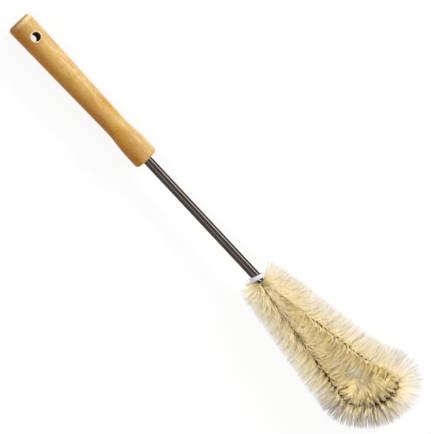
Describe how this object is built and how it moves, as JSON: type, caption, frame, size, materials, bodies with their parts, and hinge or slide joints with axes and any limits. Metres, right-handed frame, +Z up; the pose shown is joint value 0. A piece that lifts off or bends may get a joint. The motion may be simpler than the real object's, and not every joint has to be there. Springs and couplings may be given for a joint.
{
  "type": "bottle brush",
  "caption": "Bottle brush with a turned wooden handle, steel tube and a twisted-in-wire bristle head bent into a loop, lying at rest.",
  "frame": {"origin": "on the surface the brush lies on, under the middle of its bounding box", "axes": "+X along the brush from the handle to the bristle loop, +Z up from the surface"},
  "size_m": [0.4023, 0.0723, 0.0342],
  "materials": {
    "wood": "turned, clear lacquer",
    "tube_steel": "polished",
    "wire_steel": "bare drawn wire",
    "ring_plastic": "moulded, satin",
    "bristle": "natural cream bristle, paler at the tips"
  },
  "bodies": {
    "root": {"handle": "wood", "tube": "tube_steel", "collar": "ring_plastic", "wire_a": "wire_steel", "wire_b": "wire_steel", "bristles_left_leg": "bristle", "bristles_end": "bristle", "bristles_right_leg": "bristle"}
  },
  "joints": []
}
